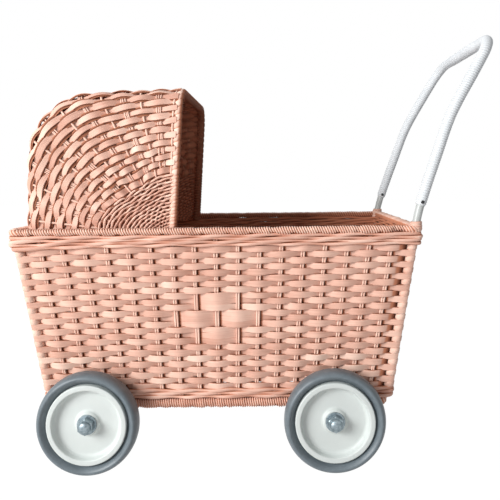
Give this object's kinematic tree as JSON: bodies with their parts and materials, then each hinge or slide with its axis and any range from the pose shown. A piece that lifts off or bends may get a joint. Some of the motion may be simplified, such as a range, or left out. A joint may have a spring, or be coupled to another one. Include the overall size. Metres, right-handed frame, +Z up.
{
  "type": "doll stroller",
  "caption": "Wicker doll's pram: tapered cane basket with a quarter-dome hood, wrapped push handle on steel rods, and rubber-tyred wheels on two axles.",
  "frame": {"origin": "on the ground, under the middle of the pram's overall box", "axes": "+Z up, +X towards the push handle, -X towards the hood, -Y the left-hand side of whoever pushes it"},
  "size_m": [0.619, 0.2974, 0.548],
  "materials": {
    "cane": "woven cane painted salmon pink, satin",
    "rod": "steel rod, light grey satin",
    "rivet": "black",
    "wrap": "white wrapped strip over a tube",
    "hub": "white moulded plastic, satin",
    "tyre": "blue-grey rubber",
    "timber": "planed softwood",
    "zinc": "zinc-plated steel"
  },
  "bodies": {
    "pram": {"axle_clip_foot_left": "zinc", "axle_clip_foot_right": "zinc", "axle_clip_head_left": "zinc", "axle_clip_head_right": "zinc", "axle_foot": "zinc", "axle_head": "zinc", "base_wale": "cane", "basket_floor": "cane", "basket_wall": "cane", "batten_foot": "timber", "batten_head": "timber", "cap_nut_foot_left": "zinc", "cap_nut_foot_right": "zinc", "cap_nut_head_left": "zinc", "cap_nut_head_right": "zinc", "foot_border": "cane", "handle_grip": "wrap", "handle_rivet_left": "rivet", "handle_rivet_right": "rivet", "handle_rod_left": "rod", "handle_rod_right": "rod", "handle_tube": "wrap", "head_post_left": "cane", "head_post_right": "cane", "hood_arch": "cane", "hood_shell": "cane", "inner_washer_foot_left": "zinc", "inner_washer_foot_right": "zinc", "inner_washer_head_left": "zinc", "inner_washer_head_right": "zinc", "lock_nut_foot_left": "zinc", "lock_nut_foot_right": "zinc", "lock_nut_head_left": "zinc", "lock_nut_head_right": "zinc", "outer_washer_foot_left": "zinc", "outer_washer_foot_right": "zinc", "outer_washer_head_left": "zinc", "outer_washer_head_right": "zinc", "rim_border": "cane", "rim_wale": "cane"},
    "wheel_head_left": {"hub_head_left": "hub", "tyre_head_left": "tyre"},
    "wheel_head_right": {"hub_head_right": "hub", "tyre_head_right": "tyre"},
    "wheel_foot_left": {"hub_foot_left": "hub", "tyre_foot_left": "tyre"},
    "wheel_foot_right": {"hub_foot_right": "hub", "tyre_foot_right": "tyre"}
  },
  "joints": [
    {"name": "wheel_head_left_spin", "type": "hinge", "parent": "pram", "child": "wheel_head_left", "pos_m": [-0.21101, -0.129, 0.0625], "axis": [0, 1, 0], "continuous": true},
    {"name": "wheel_head_right_spin", "type": "hinge", "parent": "pram", "child": "wheel_head_right", "pos_m": [-0.21101, 0.129, 0.0625], "axis": [0, 1, 0], "continuous": true},
    {"name": "wheel_foot_left_spin", "type": "hinge", "parent": "pram", "child": "wheel_foot_left", "pos_m": [0.09299, -0.129, 0.0625], "axis": [0, 1, 0], "continuous": true},
    {"name": "wheel_foot_right_spin", "type": "hinge", "parent": "pram", "child": "wheel_foot_right", "pos_m": [0.09299, 0.129, 0.0625], "axis": [0, 1, 0], "continuous": true}
  ]
}
